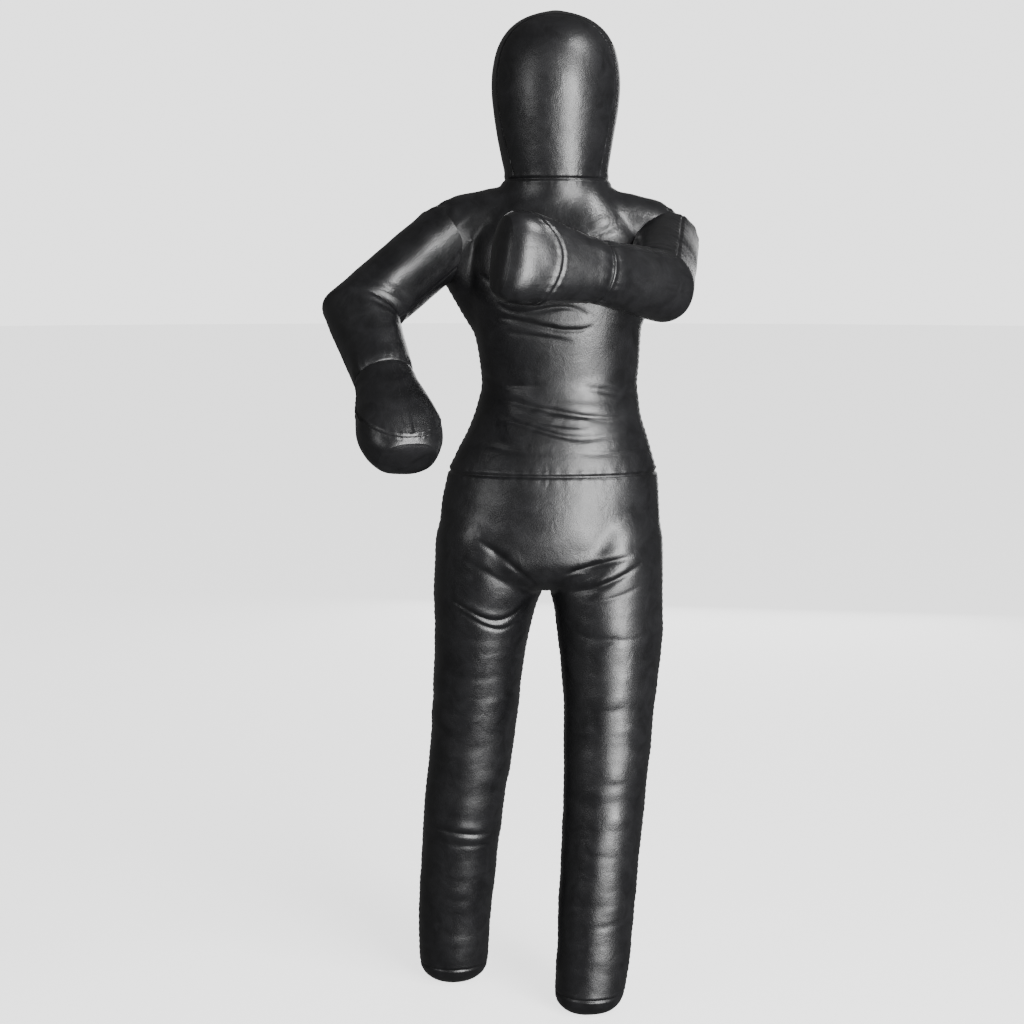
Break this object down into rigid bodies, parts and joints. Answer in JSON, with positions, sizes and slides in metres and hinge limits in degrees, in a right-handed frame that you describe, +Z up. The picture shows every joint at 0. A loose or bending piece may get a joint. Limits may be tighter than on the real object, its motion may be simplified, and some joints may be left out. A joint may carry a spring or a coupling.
{
  "type": "grappling dummy",
  "caption": "Human-shaped grappling dummy of sewn black leather over a packed filling, standing, with arms bent forward, a plain hood head and stump-ended legs that bend.",
  "frame": {"origin": "middle of the bounding box at floor level, under the standing figure", "axes": "+Z up through the head; the figure faces -Y; its own left arm and leg are on the +X side"},
  "size_m": [0.6114, 0.5672, 1.68],
  "materials": {
    "leather": "satin",
    "filling": "matte",
    "zip_tape": "matte",
    "zip_coil": "satin",
    "zip_metal": "satin"
  },
  "bodies": {
    "pelvis": {"belly_front_panel": "leather", "belly_back_panel": "leather", "hips_front_panel": "leather", "hips_back_panel": "leather", "belly_and_hips_filling": "filling"},
    "chest": {"chest_front_panel": "leather", "chest_back_panel_l": "leather", "chest_back_panel_r": "leather", "chest_filling": "filling", "zip_tape_l": "zip_tape", "zip_tape_r": "zip_tape", "zip_coil_l": "zip_coil", "zip_coil_r": "zip_coil", "zip_top_stops": "zip_metal", "zip_bottom_stop": "zip_metal"},
    "zip_slider": {"zip_slider": "zip_metal"},
    "zip_pull": {"zip_pull": "zip_metal"},
    "head": {"head_face_panel": "leather", "head_back_panel": "leather", "head_filling": "filling"},
    "upper_arm_l": {"upper_arm_front_panel_l": "leather", "upper_arm_back_panel_l": "leather", "upper_arm_filling_l": "filling"},
    "forearm_l": {"forearm_front_panel_l": "leather", "forearm_back_panel_l": "leather", "forearm_filling_l": "filling"},
    "hand_l": {"mitt_back_panel_l": "leather", "mitt_palm_panel_l": "leather", "mitt_end_panel_l": "leather", "mitt_filling_l": "filling"},
    "thigh_l": {"thigh_front_panel_l": "leather", "thigh_back_panel_l": "leather", "thigh_filling_l": "filling"},
    "shin_l": {"shin_front_panel_l": "leather", "shin_back_panel_l": "leather", "foot_cap_l": "leather", "shin_filling_l": "filling"},
    "upper_arm_r": {"upper_arm_front_panel_r": "leather", "upper_arm_back_panel_r": "leather", "upper_arm_filling_r": "filling"},
    "forearm_r": {"forearm_front_panel_r": "leather", "forearm_back_panel_r": "leather", "forearm_filling_r": "filling"},
    "hand_r": {"mitt_back_panel_r": "leather", "mitt_palm_panel_r": "leather", "mitt_end_panel_r": "leather", "mitt_filling_r": "filling"},
    "thigh_r": {"thigh_front_panel_r": "leather", "thigh_back_panel_r": "leather", "thigh_filling_r": "filling"},
    "shin_r": {"shin_front_panel_r": "leather", "shin_back_panel_r": "leather", "foot_cap_r": "leather", "shin_filling_r": "filling"}
  },
  "joints": [
    {"name": "waist_bend", "type": "hinge", "parent": "pelvis", "child": "chest", "pos_m": [0.07175, 0.16003, 1.064], "axis": [1, 0, 0], "range_deg": [-10, 20]},
    {"name": "neck_nod", "type": "hinge", "parent": "chest", "child": "head", "pos_m": [0.06575, 0.15404, 1.408], "axis": [1, 0, 0], "range_deg": [-15, 20]},
    {"name": "shoulder_swing_l", "type": "hinge", "parent": "chest", "child": "upper_arm_l", "pos_m": [0.24775, 0.14503, 1.303], "axis": [-1, 0, 0], "range_deg": [-15, 35]},
    {"name": "elbow_flex_l", "type": "hinge", "parent": "upper_arm_l", "child": "forearm_l", "pos_m": [0.22575, -0.06597, 1.234], "axis": [-0.501, 0.3158, -0.8058], "range_deg": [-20, 20]},
    {"name": "wrist_flex_l", "type": "hinge", "parent": "forearm_l", "child": "hand_l", "pos_m": [0.12475, -0.16497, 1.258], "axis": [-0.501, 0.3158, -0.8058], "range_deg": [-15, 15]},
    {"name": "hip_flex_l", "type": "hinge", "parent": "pelvis", "child": "thigh_l", "pos_m": [0.15475, 0.15004, 0.815], "axis": [-1, 0, 0], "range_deg": [-15, 50]},
    {"name": "knee_flex_l", "type": "hinge", "parent": "thigh_l", "child": "shin_l", "pos_m": [0.13947, 0.11337, 0.4], "axis": [1, 0, 0], "range_deg": [0, 50]},
    {"name": "shoulder_swing_r", "type": "hinge", "parent": "chest", "child": "upper_arm_r", "pos_m": [-0.11725, 0.14503, 1.308], "axis": [-1, 0, 0], "range_deg": [-20, 40]},
    {"name": "elbow_flex_r", "type": "hinge", "parent": "upper_arm_r", "child": "forearm_r", "pos_m": [-0.25325, 0.03703, 1.188], "axis": [-0.0447, -0.7168, 0.6958], "range_deg": [-20, 20]},
    {"name": "wrist_flex_r", "type": "hinge", "parent": "forearm_r", "child": "hand_r", "pos_m": [-0.20625, -0.06297, 1.088], "axis": [-0.0447, -0.7168, 0.6958], "range_deg": [-15, 15]},
    {"name": "hip_flex_r", "type": "hinge", "parent": "pelvis", "child": "thigh_r", "pos_m": [-0.04425, 0.15004, 0.815], "axis": [-1, 0, 0], "range_deg": [-15, 50]},
    {"name": "knee_flex_r", "type": "hinge", "parent": "thigh_r", "child": "shin_r", "pos_m": [-0.07989, 0.18823, 0.4], "axis": [1, 0, 0], "range_deg": [0, 50]},
    {"name": "zip_slide", "type": "slide", "parent": "chest", "child": "zip_slider", "axis": [0, 0, -1], "range_m": [0, 0.1716]},
    {"name": "zip_pull_swing", "type": "hinge", "parent": "zip_slider", "child": "zip_pull", "pos_m": [0.06775, 0.25873, 1.2958], "axis": [1, 0, 0], "range_deg": [0, 150]}
  ]
}
